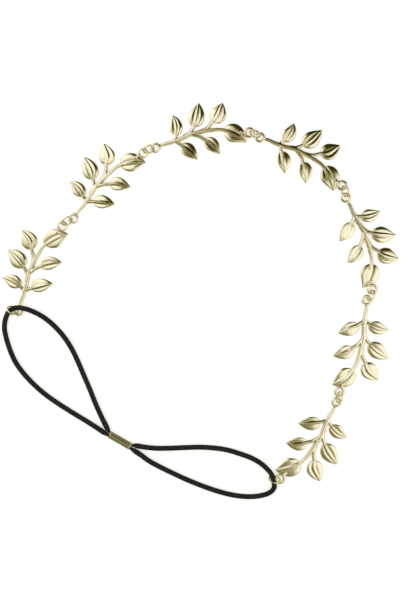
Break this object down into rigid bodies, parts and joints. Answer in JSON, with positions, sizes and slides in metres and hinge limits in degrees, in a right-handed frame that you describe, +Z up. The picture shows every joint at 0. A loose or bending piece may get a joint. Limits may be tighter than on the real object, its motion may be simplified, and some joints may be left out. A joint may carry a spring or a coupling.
{
  "type": "leaf headband",
  "caption": "Head chain of flat cast leaf sprigs joined end to end by round links, closed at the back by two loops of round black elastic held in a flattened metal crimp.",
  "frame": {"origin": "centre of the bounding box of the metal parts, on the plane that the sprigs' flat backs lie on", "axes": "+Z up from that plane to the leaves' faces; +Y to the top of the laid-out loop, where the leaf chain arches; +X to the wearer's side where the chain ends lower"},
  "size_m": [0.1986, 0.1983, 0.0056],
  "materials": {
    "gold_plating": "polished pale gold plating",
    "dull_gold": "dull olive gold",
    "black_elastic": "fine braid over rubber"
  },
  "bodies": {
    "root": {"leaf_sprig_1": "gold_plating", "leaf_sprig_2": "gold_plating", "leaf_sprig_3": "gold_plating", "leaf_sprig_4": "gold_plating", "leaf_sprig_5": "gold_plating", "leaf_sprig_6": "gold_plating", "leaf_sprig_7": "gold_plating", "jump_ring_1": "gold_plating", "jump_ring_2": "gold_plating", "jump_ring_3": "gold_plating", "jump_ring_4": "gold_plating", "jump_ring_5": "gold_plating", "jump_ring_6": "gold_plating", "end_ring_left": "gold_plating", "end_ring_right": "gold_plating", "crimp_sleeve": "dull_gold", "elastic_left": "black_elastic", "elastic_right": "black_elastic"}
  },
  "joints": []
}
